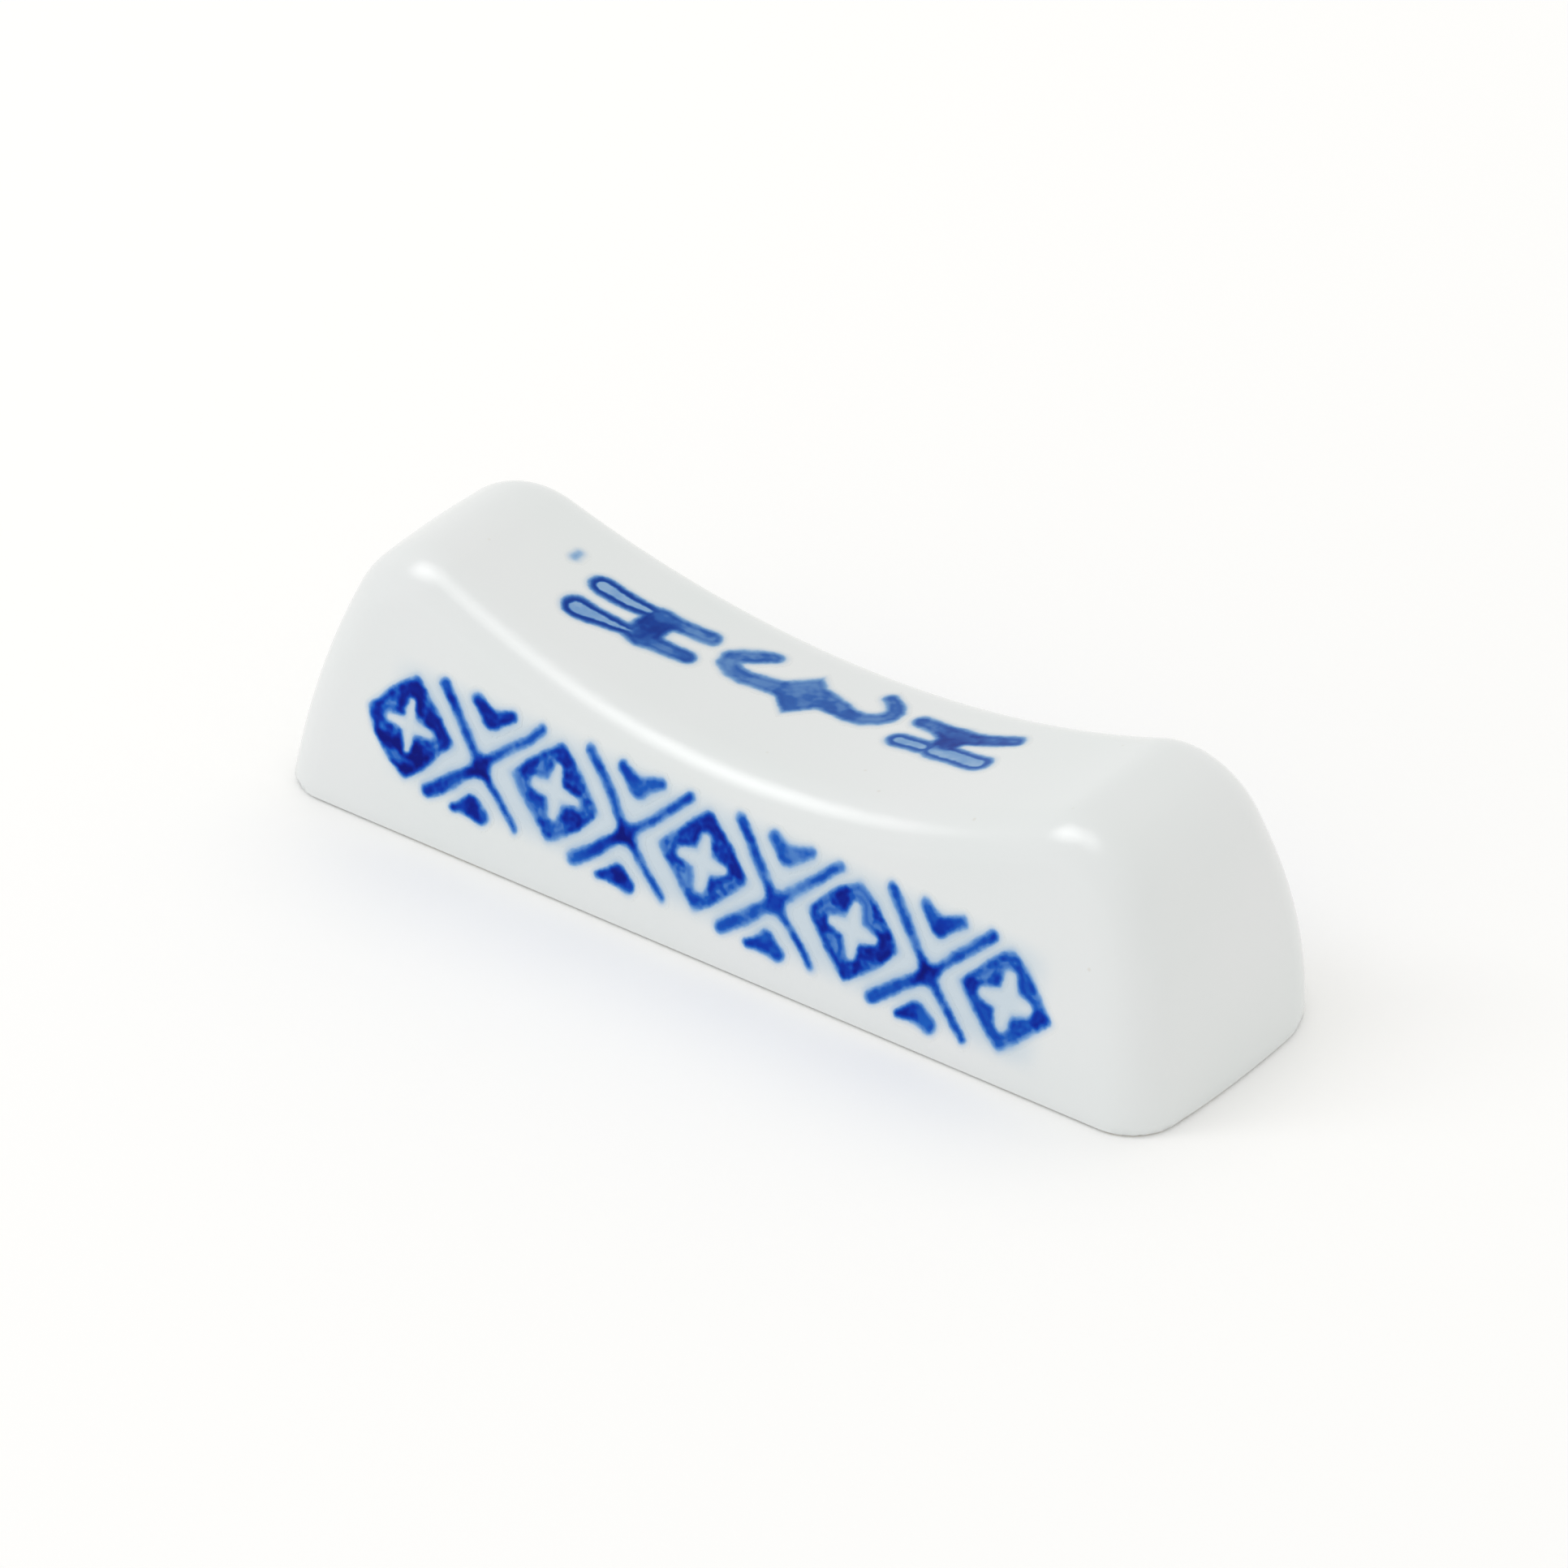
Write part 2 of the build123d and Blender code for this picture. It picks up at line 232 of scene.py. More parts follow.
for step in ((probe, 0.0, 0.0), (0.0, probe, 0.0), (0.0, 0.0, probe)):
    beside = add_node(press, "ShaderNodeVectorMath", {0: here, 1: step}, operation="ADD")
    off_beside = add_node(press, "GeometryNodeGroup", {"Position": beside, **form_links}, node_tree=form)
    rise = add_node(press, "ShaderNodeMath", {0: off_beside, 1: off}, operation="SUBTRACT")
    slopes.append(add_node(press, "ShaderNodeMath", {0: rise, 1: probe}, operation="DIVIDE"))
slope = add_node(press, "ShaderNodeCombineXYZ", {"X": slopes[0], "Y": slopes[1], "Z": slopes[2]})
steep = add_node(press, "ShaderNodeVectorMath", {0: slope, 1: slope}, operation="DOT_PRODUCT")
steep = add_node(press, "ShaderNodeMath", {0: steep, 1: least_steep}, operation="MAXIMUM")
lack = add_node(press, "ShaderNodeMath", {0: given["Lift"], 1: off}, operation="SUBTRACT")
share = add_node(press, "ShaderNodeMath", {0: lack, 1: steep}, operation="DIVIDE")
move = add_node(press, "ShaderNodeVectorMath", {0: slope, "Scale": share}, operation="SCALE")
moved = add_node(press, "GeometryNodeSetPosition", {"Geometry": again.outputs["Geometry"], "Offset": move})
press.links.new(moved, pressed.inputs["Geometry"])
add_node(press, "NodeGroupOutput", {"Geometry": pressed.outputs["Geometry"]})

# Glazed porcelain. The fired glaze is a clear glass coat over a cool white body, so it gives
# soft-edged reflections that waver a little, and it is wiped off under the foot, where the clay is dry.
glaze_white = linear("#e2e4e4")
glaze_cool = linear("#dfe3e2")
flash_blue = linear("#c3d1db")
bisque = linear("#e3dccf")
speck_grey = linear("#d3d0c8")
noise_range = (0.3, 0.7)                # most values of a noise lie between these
cloud_scale = 1 / (14 * millimetre)     # drifts of tone about 14 mm across
waver_scale = 1 / (6 * millimetre)      # the glaze skin waves every 6 mm or so
speck_scale = 1 / (3.2 * millimetre)    # about one pinhole speck in a 3.2 mm cell
speck_edge = (0.02, 0.05)               # a speck's core and rim, in shares of its cell
speck_strength = 0.5
band_level = 6.4 * millimetre           # the cobalt flashes into the glaze along the band
band_slope = math.tan(math.radians(2.1))
flash_strength = 0.9
flash_high = (2.4 * millimetre, 4.3 * millimetre)      # full up to the first, gone at the second
flash_long = (21.8 * millimetre, 24.8 * millimetre)
flash_deep = (6.9 * millimetre, 7.5 * millimetre)      # none on the saddle, full on the sides
wipe_edge = (0.16 * millimetre, 0.22 * millimetre)     # bare below the first, glazed above the second
wipe_waver = 0.3 * millimetre
glaze_roughness = (0.14, 0.2)
bisque_roughness = 0.75
waver_height = 0.03 * millimetre
glass_ior = 1.5

skin_looks = {"Colour": glaze_white, "Roughness": glaze_roughness[0], "Normal": (0.0, 0.0, 1.0)}
skin, given = new_tree("glaze_skin", {}, skin_looks, "ShaderNodeTree")
spot = add_node(skin, "ShaderNodeTexCoord").node.outputs["Object"]
spot_x, spot_y, spot_z = add_node(skin, "ShaderNodeSeparateXYZ", {0: spot}).node.outputs
clouds = add_node(skin, "ShaderNodeTexNoise", {"Vector": spot, "Scale": cloud_scale, "Detail": 3.0})
drift_links = {"Value": clouds, "From Min": noise_range[0], "From Max": noise_range[1]}
drift = add_node(skin, "ShaderNodeMapRange", drift_links)
coat_links = {"Factor": drift, "A": glaze_cool, "B": glaze_white}
coat = add_node(skin, "ShaderNodeMix", coat_links, data_type="RGBA")
specks = add_node(skin, "ShaderNodeTexVoronoi", {"Vector": spot, "Scale": speck_scale})
speck_links = {"Value": specks, "From Min": speck_edge[0], "From Max": speck_edge[1]}
speck_links.update({"To Min": speck_strength, "To Max": 0.0})
speck = add_node(skin, "ShaderNodeMapRange", speck_links)
coat = add_node(skin, "ShaderNodeMix", {"Factor": speck, "A": coat, "B": speck_grey}, data_type="RGBA")
face = add_node(skin, "ShaderNodeMath", {0: spot_y}, operation="SIGN")
band_rise = add_node(skin, "ShaderNodeMath", {0: spot_x, 1: face}, operation="MULTIPLY")
rise_links = {0: band_rise, 1: band_slope, 2: band_level}
band_rise = add_node(skin, "ShaderNodeMath", rise_links, operation="MULTIPLY_ADD")
band_gap = add_node(skin, "ShaderNodeMath", {0: spot_z, 1: band_rise}, operation="SUBTRACT")
band_gap = add_node(skin, "ShaderNodeMath", {0: band_gap}, operation="ABSOLUTE")
band_links = {"Value": band_gap, "From Min": flash_high[0], "From Max": flash_high[1], **fading}
band_up = add_node(skin, "ShaderNodeMapRange", band_links, interpolation_type="SMOOTHSTEP")
band_run = add_node(skin, "ShaderNodeMath", {0: spot_x}, operation="ABSOLUTE")
band_links = {"Value": band_run, "From Min": flash_long[0], "From Max": flash_long[1], **fading}
band_run = add_node(skin, "ShaderNodeMapRange", band_links, interpolation_type="SMOOTHSTEP")
band_side = add_node(skin, "ShaderNodeMath", {0: spot_y}, operation="ABSOLUTE")
band_links = {"Value": band_side, "From Min": flash_deep[0], "From Max": flash_deep[1]}
band_side = add_node(skin, "ShaderNodeMapRange", band_links, interpolation_type="SMOOTHSTEP")
flash = band_up
for share in (band_run, band_side, flash_strength):
    flash = add_node(skin, "ShaderNodeMath", {0: flash, 1: share}, operation="MULTIPLY")
coat = add_node(skin, "ShaderNodeMix", {"Factor": flash, "A": coat, "B": flash_blue}, data_type="RGBA")
ragged = add_node(skin, "ShaderNodeMath", {0: clouds, 1: wipe_waver, 2: spot_z}, operation="MULTIPLY_ADD")
wipe_links = {"Value": ragged, "From Min": wipe_edge[0], "From Max": wipe_edge[1], **fading}
wiped = add_node(skin, "ShaderNodeMapRange", wipe_links)
coat = add_node(skin, "ShaderNodeMix", {"Factor": wiped, "A": coat, "B": bisque}, data_type="RGBA")
gloss_links = {"Value": clouds, "To Min": glaze_roughness[0], "To Max": glaze_roughness[1]}
gloss = add_node(skin, "ShaderNodeMapRange", gloss_links)
gloss = add_node(skin, "ShaderNodeMix", {"Factor": wiped, "A": gloss, "B": bisque_roughness})
waver = add_node(skin, "ShaderNodeTexNoise", {"Vector": spot, "Scale": waver_scale, "Detail": 1.0})
waver = add_node(skin, "ShaderNodeBump", {"Height": waver, "Strength": 1.0, "Distance": waver_height})
add_node(skin, "NodeGroupOutput", {"Colour": coat, "Roughness": gloss, "Normal": waver})


def blank_nodes(owner):
    """The node tree of a new material or world, emptied."""
    owner.use_nodes = True
    owner.node_tree.nodes.clear()
    return owner.node_tree


porcelain = bpy.data.materials.new("glazed_porcelain")
shade = blank_nodes(porcelain)
look = add_node(shade, "ShaderNodeGroup", node_tree=skin).node.outputs
glaze_links = {"Base Color": look["Colour"], "Roughness": look["Roughness"]}
glaze_links.update({"Normal": look["Normal"], "IOR": glass_ior})
glazed = add_node(shade, "ShaderNodeBsdfPrincipled", glaze_links)
add_node(shade, "ShaderNodeOutputMaterial", {"Surface": glazed})

# The casting is cut by its rule from a block with a little room all round, and pressed onto the rule.
mesh_step = 0.4
room = 1.2
block_low = (-33.7, -11.4, -room)
block_high = (33.7, 11.4, 18.2)
casting_sizes = {"Low corner": block_low, "High corner": block_high, "Step": mesh_step, "Glaze": porcelain}
casting_tree, given = new_tree("porcelain_casting", {**casting_sizes, **form_sizes}, {"Geometry": "mesh"})
form_links = {label: given[label] for label in form_sizes}
here = add_node(casting_tree, "GeometryNodeInputPosition")
off = add_node(casting_tree, "GeometryNodeGroup", {"Position": here, **form_links}, node_tree=form)
clay = add_node(casting_tree, "ShaderNodeMath", {0: room, 1: off}, operation="SUBTRACT")
span_links = {0: given["High corner"], 1: given["Low corner"]}
span = add_node(casting_tree, "ShaderNodeVectorMath", span_links, operation="SUBTRACT")
step = add_node(casting_tree, "ShaderNodeCombineXYZ", {axis: given["Step"] for axis in "XYZ"})
cells = add_node(casting_tree, "ShaderNodeVectorMath", {0: span, 1: step}, operation="DIVIDE")
cells_x, cells_y, cells_z = add_node(casting_tree, "ShaderNodeSeparateXYZ", {0: cells}).node.outputs
block_links = {"Density": clay, "Min": given["Low corner"], "Max": given["High corner"]}
block_links.update({"Resolution X": cells_x, "Resolution Y": cells_y, "Resolution Z": cells_z})
block = add_node(casting_tree, "GeometryNodeVolumeCube", block_links)
cast = add_node(casting_tree, "GeometryNodeVolumeToMesh", {"Volume": block, "Threshold": room})
cast = add_node(casting_tree, "GeometryNodeGroup", {"Geometry": cast, **form_links}, node_tree=press)
cast = add_node(casting_tree, "GeometryNodeTransform", {"Geometry": cast, "Scale": (millimetre,) * 3})
cast = add_node(casting_tree, "GeometryNodeSetShadeSmooth", {"Geometry": cast})
cast = add_node(casting_tree, "GeometryNodeRealizeInstances", {"Geometry": cast})
cast = add_node(casting_tree, "GeometryNodeSetMaterial", {"Geometry": cast, "Material": given["Glaze"]})
add_node(casting_tree, "NodeGroupOutput", {"Geometry": cast})
body = made_piece("porcelain_casting", casting_tree, glaze=porcelain)
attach(body, "root")
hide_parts("porcelain_body")

# Cobalt print: the lozenges. The band on the front and the back is a transfer printed in cobalt blue
# and laid on before glazing: a row of lozenges on their corners, with a bare star left in each one.
# In the fire it sinks into the glaze, so it lies flush, with soft edges and blotches of thin and thick ink.
band_height = 6.4
band_pitch = 11.0
band_shift = -0.55
band_tilt = math.radians(-2.1)
print_depth = 0.2
print_step = 0.12
print_fringe = 0.55
lozenge_half = 3.2
lozenge_swell = 2.42
star_reach = 1.5
star_heart = 1.75
star_tip = 0.95
star_web = 0.2
star_edge = 0.15
star_flood = (-0.1, 0.2)     # the star's edge draws in by so much, in thin ink and in thick
flood_tones = (1.5, 3.4)     # the depths of ink for that
lozenge_blunt = 1.0
lozenge_line = 0.4
lozenge_spread = 0.2         # the thickest lozenges spread by so much
spread_tones = (2.4, 3.6)    # over these depths of ink

# Cobalt under glaze. Thin ink lets the white through and thick ink is a deep navy, as through a
# blue filter, so one depth of ink gives every shade; the glaze over it is the same skin.
deepest = 5.0
blotch_scale = 1 / (1.5 * millimetre)   # the ink lies thick and thin in blotches of 1.5 mm
grain_scale = 1 / (0.45 * millimetre)   # and its edge is grainy at about half a millimetre
blotch_range = (0.36, 0.64)             # narrower than the noise, so the blotches have firm edges
grain_reach = 0.04                      # the edge is ragged by so many millimetres either way
cover_edge = (-0.3, 0.22)               # full ink 0.3 mm inside the drawn edge, none 0.22 mm outside it
bleed_reach = 0.5                       # a faint blue bleeds half a millimetre out of the edge
bleed_depth = 0.3
outline_edge = (-0.52, -0.3)            # the darker outline of a stroke begins so far inside its edge
ink_shine = 0.08                        # low, so the blue stays deep under the white tent
deep_shades = {
    0.0: "#ffffff", 0.1: "#afcff5", 0.2: "#74a8ea", 0.4: "#1e6bd5",
    0.6: "#0342c2", 0.8: "#0025a4", 1.0: "#001289",
}


def cobalt_ink(name, shades, thickest, thinnest):
    """A cobalt print under the glaze, with its shades by depth of ink and how far it blotches."""
    cobalt = bpy.data.materials.new(name)
    shade = blank_nodes(cobalt)
    look = add_node(shade, "ShaderNodeGroup", node_tree=skin).node.outputs
    coats = [add_node(shade, "ShaderNodeAttribute", attribute_name=coat) for coat in ("ink", "wash", "line")]
    ink, wash, line = [coat.node.outputs["Fac"] for coat in coats]
    spot = add_node(shade, "ShaderNodeTexCoord").node.outputs["Object"]
    grain = add_node(shade, "ShaderNodeTexNoise", {"Vector": spot, "Scale": grain_scale, "Detail": 2.0})
    grain_links = {"Value": grain, "From Min": noise_range[0], "From Max": noise_range[1]}
    grain_links.update({"To Min": -grain_reach, "To Max": grain_reach})
    grain_shift = add_node(shade, "ShaderNodeMapRange", grain_links)
    ragged = add_node(shade, "ShaderNodeMath", {0: ink, 1: grain_shift}, operation="ADD")
    cover_links = {"Value": ragged, "From Min": cover_edge[0], "From Max": cover_edge[1], **fading}
    cover = add_node(shade, "ShaderNodeMapRange", cover_links, interpolation_type="SMOOTHSTEP")
    bleed_links = {"Value": ink, "From Max": bleed_reach, "To Min": bleed_depth, "To Max": 0.0}
    bleed = add_node(shade, "ShaderNodeMapRange", bleed_links, interpolation_type="SMOOTHSTEP")
    blotch_links = {"Vector": spot, "Scale": blotch_scale, "Detail": 2.0, "Roughness": 0.6}
    blotches = add_node(shade, "ShaderNodeTexNoise", blotch_links)
    depth_links = {"Value": blotches, "From Min": blotch_range[0], "From Max": blotch_range[1]}
    depth_links.update({"To Min": thickest, "To Max": thinnest})
    blotch = add_node(shade, "ShaderNodeMapRange", depth_links, interpolation_type="SMOOTHSTEP")
    rim_links = {"Value": ragged, "From Min": outline_edge[0], "From Max": outline_edge[1]}
    rim = add_node(shade, "ShaderNodeMapRange", rim_links, interpolation_type="SMOOTHSTEP")
    outline = add_node(shade, "ShaderNodeMath", {0: rim, 1: line}, operation="MULTIPLY")
    depth = add_node(shade, "ShaderNodeMath", {0: blotch, 1: wash, 2: outline}, operation="MULTIPLY_ADD")
    depth = add_node(shade, "ShaderNodeMath", {0: depth, 1: cover, 2: bleed}, operation="MULTIPLY_ADD")
    depth = add_node(shade, "ShaderNodeMath", {0: depth, 1: deepest}, operation="DIVIDE", use_clamp=True)
    ramp = add_node(shade, "ShaderNodeValToRGB", {"Fac": depth})
    stops = ramp.node.color_ramp.elements
    for position, colour in shades.items():
        stop = stops[0] if position == 0.0 else stops[-1] if position == 1.0 else stops.new(position)
        stop.color = linear(colour)
    tint_links = {"Factor": 1.0, "A": look["Colour"], "B": ramp}
    tinted = add_node(shade, "ShaderNodeMix", tint_links, data_type="RGBA", blend_type="MULTIPLY")
    cobalt_links = {"Base Color": tinted, "Roughness": look["Roughness"], "Normal": look["Normal"]}
    cobalt_links.update({"IOR": glass_ior, "Specular IOR Level": ink_shine})
    glazed = add_node(shade, "ShaderNodeBsdfPrincipled", cobalt_links)
    add_node(shade, "ShaderNodeOutputMaterial", {"Surface": glazed})
    return cobalt


cobalt = cobalt_ink("cobalt_under_glaze", deep_shades, thickest=1.4, thinnest=0.4)

# One brush stroke: how far a point lies outside the ink of a straight stroke that tapers.
stroke_sizes = {"Point": (0.0, 0.0, 0.0), "Start": (0.0, 0.0, 0.0), "End": (1.0, 0.0, 0.0)}
stroke_sizes.update({"Start width": 1.0, "End width": 1.0})
brush, given = new_tree("brush_stroke", stroke_sizes, {"Distance": 0.0})
run = add_node(brush, "ShaderNodeVectorMath", {0: given["End"], 1: given["Start"]}, operation="SUBTRACT")
start_links = {0: given["Point"], 1: given["Start"]}
from_start = add_node(brush, "ShaderNodeVectorMath", start_links, operation="SUBTRACT")
gone = add_node(brush, "ShaderNodeVectorMath", {0: from_start, 1: run}, operation="DOT_PRODUCT")
whole = add_node(brush, "ShaderNodeVectorMath", {0: run, 1: run}, operation="DOT_PRODUCT")
share = add_node(brush, "ShaderNodeMath", {0: gone, 1: whole}, operation="DIVIDE", use_clamp=True)
reached = add_node(brush, "ShaderNodeVectorMath", {0: run, "Scale": share}, operation="SCALE")
aside = add_node(brush, "ShaderNodeVectorMath", {0: from_start, 1: reached}, operation="DISTANCE")
taper_links = {"Factor": share, "A": given["Start width"], "B": given["End width"]}
breadth = add_node(brush, "ShaderNodeMix", taper_links)
inked = add_node(brush, "ShaderNodeMath", {0: breadth, 1: -0.5, 2: aside}, operation="MULTIPLY_ADD")
add_node(brush, "NodeGroupOutput", {"Distance": inked})


def brushed(tree, point, strokes, blend):
    """Distance from a few brush strokes, which run together where they touch."""
    total = None
    for start, finish, start_width, finish_width in strokes:
        stroke_links = {"Point": point, "Start": (*start, 0.0), "End": (*finish, 0.0)}
        stroke_links.update({"Start width": start_width, "End width": finish_width})
        distance = add_node(tree, "GeometryNodeGroup", stroke_links, node_tree=brush)
        if total is None:
            total = distance
        else:
            join_links = {0: total, 1: distance, 2: blend}
            total = add_node(tree, "ShaderNodeMath", join_links, operation="SMOOTH_MIN")
    return total


def lay_on_front(tree, sheet):
    """Lays a flat sheet on the leaning front, a little off centre and off level."""
    lean = form_sizes["Side lean"]
    level = band_height * math.cos(lean)
    place = (band_shift, level * math.tan(lean) - form_sizes["Width"] / 2, level)
    sheet = add_node(tree, "GeometryNodeTransform", {"Geometry": sheet, "Rotation": (0.0, 0.0, band_tilt)})
    lay_links = {"Geometry": sheet, "Translation": place, "Rotation": (math.pi / 2 - lean, 0.0, 0.0)}
    return add_node(tree, "GeometryNodeTransform", lay_links)


hand_waves = ((2.8, 1.0), (0.9, 0.2))   # edges shake every 2.8 mm, and a fifth as much every 0.9 mm
noise_middle = (0.5, 0.5, 0.5)          # taken off, so that the shake goes both ways
in_the_sheet = (1.0, 1.0, 0.0)          # and none of it leaves the sheet
tone_wave = 4.0                         # the coat of ink thins and thickens over 4 mm
wet_run = (-19.0, -12.0)                # the first motifs of the band took up the most ink


def print_tree(name, draw, lay, motif_sizes):
    """Sets out a row of fine sheets, draws the motif on each, trims it and presses it onto the casting."""
    sizes = {"Count": 1, "Pitch": band_pitch, "Wide": 8.0, "High": 8.0}
    sizes.update({"Step": print_step, "Fringe": print_fringe})
    sizes.update({"Wobble": 0.25, "Thin": 1.5, "Thick": 2.8, "Wet": 0.8, "Lift": 0.006})
    sizes.update({"Seed": 0.0, "Turn": 0.0, "Ink": cobalt, **motif_sizes})
    tree, given = new_tree(name, {**sizes, **form_sizes}, {"Geometry": "mesh"})
    points_x = add_node(tree, "ShaderNodeMath", {0: given["Wide"], 1: given["Step"]}, operation="DIVIDE")
    points_y = add_node(tree, "ShaderNodeMath", {0: given["High"], 1: given["Step"]}, operation="DIVIDE")
    sheet_links = {"Size X": given["Wide"], "Size Y": given["High"]}
    sheet_links.update({"Vertices X": points_x, "Vertices Y": points_y})
    sheet = add_node(tree, "GeometryNodeMeshGrid", sheet_links)
    here = add_node(tree, "GeometryNodeInputPosition")
    sheet_links = {"Geometry": sheet, "Name": "motif", "Value": here}
    sheet = add_node(tree, "GeometryNodeStoreNamedAttribute", sheet_links, data_type="FLOAT_VECTOR")
    gaps = add_node(tree, "ShaderNodeMath", {0: given["Count"], 1: 1.0}, operation="SUBTRACT")
    first = add_node(tree, "ShaderNodeMath", {0: gaps, 1: given["Pitch"]}, operation="MULTIPLY")
    first = add_node(tree, "ShaderNodeMath", {0: first, 1: -0.5}, operation="MULTIPLY")
    first = add_node(tree, "ShaderNodeCombineXYZ", {"X": first})
    pitch = add_node(tree, "ShaderNodeCombineXYZ", {"X": given["Pitch"]})
    row_links = {"Count": given["Count"], "Start Location": first, "Offset": pitch}
    row = add_node(tree, "GeometryNodeMeshLine", row_links)
    sheet = add_node(tree, "GeometryNodeInstanceOnPoints", {"Points": row, "Instance": sheet})
    sheet = add_node(tree, "GeometryNodeRealizeInstances", {"Geometry": sheet})
    seeded = add_node(tree, "ShaderNodeCombineXYZ", {"Z": given["Seed"]})
    seeded = add_node(tree, "ShaderNodeVectorMath", {0: here, 1: seeded}, operation="ADD")
    point = add_node(tree, "GeometryNodeInputNamedAttribute", {"Name": "motif"}, data_type="FLOAT_VECTOR")
    for wave, strength in hand_waves:
        shake_links = {"Vector": seeded, "Scale": 1 / wave, "Detail": 1.0}
        shake = add_node(tree, "ShaderNodeTexNoise", shake_links).node.outputs["Color"]
        shake = add_node(tree, "ShaderNodeVectorMath", {0: shake, 1: noise_middle}, operation="SUBTRACT")
        hand = add_node(tree, "ShaderNodeMath", {0: given["Wobble"], 1: 2 * strength}, operation="MULTIPLY")
        shake = add_node(tree, "ShaderNodeVectorMath", {0: shake, "Scale": hand}, operation="SCALE")
        shake = add_node(tree, "ShaderNodeVectorMath", {0: shake, 1: in_the_sheet}, operation="MULTIPLY")
        point = add_node(tree, "ShaderNodeVectorMath", {0: point, 1: shake}, operation="ADD")
    tone = add_node(tree, "ShaderNodeTexNoise", {"Vector": seeded, "Scale": 1 / tone_wave, "Detail": 0.0})
    tone_links = {"Value": tone, "From Min": noise_range[0], "From Max": noise_range[1]}
    tone_links.update({"To Min": given["Thin"], "To Max": given["Thick"]})
    tone = add_node(tree, "ShaderNodeMapRange", tone_links)
    along = add_node(tree, "ShaderNodeSeparateXYZ", {0: here}).node.outputs["X"]
    wet_links = {"Value": along, "From Min": wet_run[0], "From Max": wet_run[1]}
    wet_links.update({"To Min": given["Wet"], "To Max": 0.0})
    wet = add_node(tree, "ShaderNodeMapRange", wet_links)
    tone = add_node(tree, "ShaderNodeMath", {0: tone, 1: wet}, operation="ADD")
    ink, wash, line = draw(tree, point, tone)
    for label, value in (("ink", ink), ("wash", wash), ("line", line)):
        store_links = {"Geometry": sheet, "Name": label, "Value": value}
        sheet = add_node(tree, "GeometryNodeStoreNamedAttribute", store_links)
    bare = add_node(tree, "ShaderNodeMath", {0: ink, 1: given["Fringe"]}, operation="GREATER_THAN")
    sheet = add_node(tree, "GeometryNodeDeleteGeometry", {"Geometry": sheet, "Selection": bare})
    sheet = lay(tree, sheet)
    form_links = {label: given[label] for label in form_sizes}
    press_links = {"Geometry": sheet, "Lift": given["Lift"], **form_links}
    sheet = add_node(tree, "GeometryNodeGroup", press_links, node_tree=press)
    turn = add_node(tree, "ShaderNodeCombineXYZ", {"Z": given["Turn"]})
    metre_links = {"Geometry": sheet, "Rotation": turn, "Scale": (millimetre,) * 3}
    sheet = add_node(tree, "GeometryNodeTransform", metre_links)
    sheet = add_node(tree, "GeometryNodeSetShadeSmooth", {"Geometry": sheet})
    sheet = add_node(tree, "GeometryNodeRealizeInstances", {"Geometry": sheet})
    sheet = add_node(tree, "GeometryNodeSetMaterial", {"Geometry": sheet, "Material": given["Ink"]})
    add_node(tree, "NodeGroupOutput", {"Geometry": sheet})
    return tree


def draw_lozenge(tree, point, tone):
    """A square on its corner with swelling sides and a bare star; thick ink spreads and floods the star."""
    flatness = (lozenge_half ** 2 - lozenge_swell ** 2) / (2 * lozenge_swell - math.sqrt(2) * lozenge_half)
    centre = (-flatness * math.sqrt(0.5), -flatness * math.sqrt(0.5), 0.0)
    folded = add_node(tree, "ShaderNodeVectorMath", {0: point}, operation="ABSOLUTE")
    sides = add_node(tree, "ShaderNodeSeparateXYZ", {0: point}).node.outputs
    blunt = []
    for gone in (sides["X"], sides["Y"]):
        facing = add_node(tree, "ShaderNodeMath", {0: gone, 1: -1.0}, operation="MULTIPLY")
        blunt_links = {0: gone, 1: facing, 2: lozenge_blunt}
        blunt.append(add_node(tree, "ShaderNodeMath", blunt_links, operation="SMOOTH_MAX"))
    blunt = add_node(tree, "ShaderNodeCombineXYZ", {"X": blunt[0], "Y": blunt[1]})
    square = add_node(tree, "ShaderNodeVectorMath", {0: blunt, 1: centre}, operation="DISTANCE")
    square = add_node(tree, "ShaderNodeMath", {0: square, 1: flatness + lozenge_swell}, operation="SUBTRACT")
    spread_links = {"Value": tone, "From Min": spread_tones[0], "From Max": spread_tones[1]}
    spread_links.update({"To Min": 0.0, "To Max": lozenge_spread})
    spread = add_node(tree, "ShaderNodeMapRange", spread_links)
    square = add_node(tree, "ShaderNodeMath", {0: square, 1: spread}, operation="SUBTRACT")
    rays = [((0.0, 0.0), tip, star_heart, star_tip) for tip in ((star_reach, 0.0), (0.0, star_reach))]
    star = brushed(tree, folded, rays, star_web)
    flood_links = {"Value": tone, "From Min": flood_tones[0], "From Max": flood_tones[1]}
    flood_links.update({"To Min": star_flood[0], "To Max": star_flood[1]})
    flooded = add_node(tree, "ShaderNodeMapRange", flood_links)
    bare = add_node(tree, "ShaderNodeMath", {0: star, 1: flooded}, operation="ADD")
    bare = add_node(tree, "ShaderNodeMath", {0: bare, 1: -1.0}, operation="MULTIPLY")
    ink = add_node(tree, "ShaderNodeMath", {0: square, 1: bare, 2: star_edge}, operation="SMOOTH_MAX")
    return ink, tone, lozenge_line


lozenge_tree = print_tree("lozenge_row", draw_lozenge, lay_on_front, {"Count": 5, "Wide": 8.2, "High": 8.2})
for face, turn, seed in (("front", 0.0, 3.0), ("back", math.pi, 41.0)):
    name = face + "_lozenge_print"
    row = made_piece(name, lozenge_tree, print_depth * millimetre, turn=turn, seed=seed, ink=cobalt)
    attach(row, "root")
    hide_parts(face + "_lozenges")

